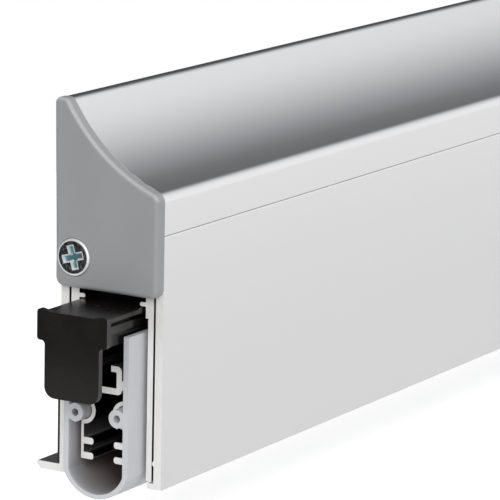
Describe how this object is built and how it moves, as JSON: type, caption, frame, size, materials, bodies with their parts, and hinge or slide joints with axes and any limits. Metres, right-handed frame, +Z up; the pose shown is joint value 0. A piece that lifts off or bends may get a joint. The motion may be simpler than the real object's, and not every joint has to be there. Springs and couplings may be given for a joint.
{
  "type": "automatic door bottom seal",
  "caption": "Surface-mounted automatic door bottom seal: pressing the end plunger drives a soft seal down out of an aluminium profile with a clip-on front cover.",
  "frame": {"origin": "middle of the row of fixing holes, on the door-side face of the base profile", "axes": "+X along the door from the plunger end, +Y out of the door-side face towards the door, +Z up"},
  "size_m": [0.3506, 0.023, 0.0614],
  "materials": {
    "anodised_profile": "brushed, natural anodised",
    "mill_aluminium": "plain extruded, sawn ends",
    "black_tape": "matt foam",
    "grey_seal": "smooth, satin",
    "grey_cap": "fine satin",
    "bright_steel": "bright plated",
    "zinc_steel": "zinc plated",
    "spring_steel": "drawn wire",
    "black_plastic": "glossy moulded",
    "white_plastic": "moulded"
  },
  "bodies": {
    "frame": {"base_profile": "anodised_profile", "front_cover": "anodised_profile", "sealing_tape": "black_tape", "end_cap_near": "grey_cap", "end_cap_far": "grey_cap", "cap_screws": "bright_steel", "mechanism_housing": "anodised_profile", "housing_screws": "bright_steel", "bearing_block_near": "white_plastic", "bearing_block_far": "white_plastic", "frame_pins": "bright_steel"},
    "carrier": {"drop_carrier": "mill_aluminium", "seal_profile": "grey_seal", "carrier_block_near": "white_plastic", "carrier_block_far": "white_plastic", "return_spring_near": "spring_steel", "return_spring_far": "spring_steel"},
    "slide": {"plunger": "black_plastic", "plunger_stud": "bright_steel", "lock_nut": "bright_steel", "slide_strip": "zinc_steel", "slide_pins": "bright_steel"},
    "lever_near": {"lever_near": "zinc_steel", "lever_pins_near": "bright_steel"},
    "lever_far": {"lever_far": "zinc_steel", "lever_pins_far": "bright_steel"},
    "link_near": {"link_near": "zinc_steel"},
    "link_far": {"link_far": "zinc_steel"}
  },
  "joints": [
    {"name": "seal_drop", "type": "slide", "parent": "frame", "child": "carrier", "axis": [0, 0, -1], "range_m": [0, 0.008], "stiffness_N_per_m": 500, "springref_m": -0.006, "deforming": ["return_spring_near", "return_spring_far"]},
    {"name": "plunger_press", "type": "slide", "parent": "frame", "child": "slide", "axis": [1, 0, 0], "range_m": [0, 0.0056]},
    {"name": "lever_turn_near", "type": "hinge", "parent": "slide", "child": "lever_near", "pos_m": [-0.11494, -0.0094, -0.0105], "axis": [0, 1, 0], "range_deg": [0, 26.27]},
    {"name": "lever_turn_far", "type": "hinge", "parent": "slide", "child": "lever_far", "pos_m": [0.07506, -0.0094, -0.0105], "axis": [0, 1, 0], "range_deg": [0, 26.27]},
    {"name": "link_turn_near", "type": "hinge", "parent": "frame", "child": "link_near", "pos_m": [-0.095, -0.0094, -0.0105], "axis": [0, 1, 0], "range_deg": [-26.27, 0]},
    {"name": "link_turn_far", "type": "hinge", "parent": "frame", "child": "link_far", "pos_m": [0.095, -0.0094, -0.0105], "axis": [0, 1, 0], "range_deg": [-26.27, 0]}
  ],
  "couplings": [
    {"joint": "plunger_press", "follows": "seal_drop", "ratio": 0.7},
    {"joint": "lever_turn_near", "follows": "seal_drop", "rad_per_m": 57.308},
    {"joint": "lever_turn_far", "follows": "seal_drop", "rad_per_m": 57.308},
    {"joint": "link_turn_near", "follows": "seal_drop", "rad_per_m": -57.308},
    {"joint": "link_turn_far", "follows": "seal_drop", "rad_per_m": -57.308}
  ]
}
